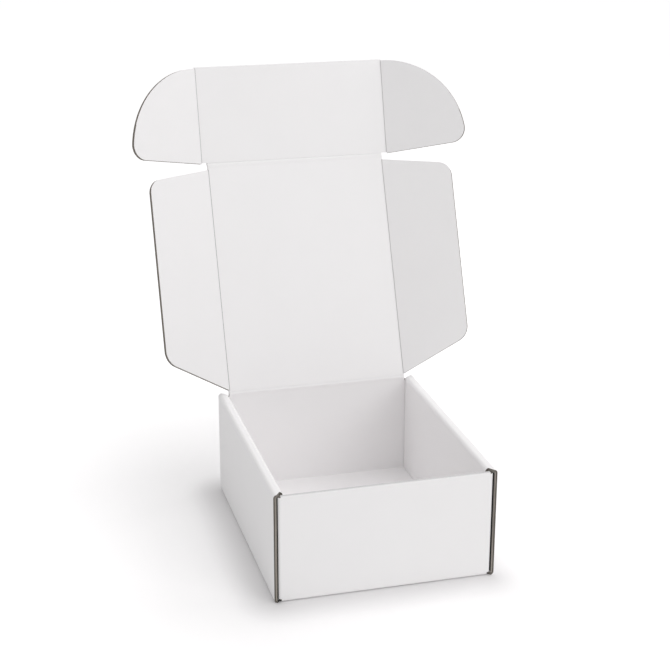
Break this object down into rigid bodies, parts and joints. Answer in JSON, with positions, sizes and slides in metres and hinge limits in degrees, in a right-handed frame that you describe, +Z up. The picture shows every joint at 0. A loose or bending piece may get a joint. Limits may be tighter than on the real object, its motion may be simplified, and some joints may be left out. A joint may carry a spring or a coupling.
{
  "type": "corrugated mailer box",
  "caption": "White corrugated mailer box standing open: a tray with rolled double side walls, a lid on its back wall with side dust flaps, and a front tuck flap with rounded ears.",
  "frame": {"origin": "centre of the tray's underside", "axes": "+Z up, -Y towards the front wall, +X to the right seen from the front"},
  "size_m": [0.1868, 0.1958, 0.2254],
  "materials": {
    "white_board": "white uncoated liner on both faces, matte"
  },
  "bodies": {
    "tray": {"tray": "white_board"},
    "lid": {"lid_panel": "white_board"},
    "dust_flap_left": {"dust_flap_left": "white_board"},
    "dust_flap_right": {"dust_flap_right": "white_board"},
    "tuck_flap": {"tuck_flap": "white_board"},
    "ear_left": {"ear_left": "white_board"},
    "ear_right": {"ear_right": "white_board"}
  },
  "joints": [
    {"name": "lid_crease", "type": "hinge", "parent": "tray", "child": "lid", "pos_m": [0, 0.06545, 0.0573], "axis": [1, 0, 0], "range_deg": [-67.3, 67]},
    {"name": "dust_crease_left", "type": "hinge", "parent": "lid", "child": "dust_flap_left", "pos_m": [-0.0494, 0.06545, 0.0573], "axis": [0, 0.3859, 0.9225], "range_deg": [-24.5, 65.5]},
    {"name": "dust_crease_right", "type": "hinge", "parent": "lid", "child": "dust_flap_right", "pos_m": [0.0494, 0.06545, 0.0573], "axis": [0, -0.3859, -0.9225], "range_deg": [-24.5, 65.5]},
    {"name": "tuck_crease", "type": "hinge", "parent": "lid", "child": "tuck_flap", "pos_m": [0, 0.11423, 0.17391], "axis": [1, 0, 0], "range_deg": [-6.8, 33]},
    {"name": "ear_crease_left", "type": "hinge", "parent": "tuck_flap", "child": "ear_left", "pos_m": [-0.0527, 0.11423, 0.17391], "axis": [0, 0.274, 0.9617], "range_deg": [-29.5, 60.5]},
    {"name": "ear_crease_right", "type": "hinge", "parent": "tuck_flap", "child": "ear_right", "pos_m": [0.0527, 0.11423, 0.17391], "axis": [0, -0.274, -0.9617], "range_deg": [-29.5, 60.5]}
  ]
}
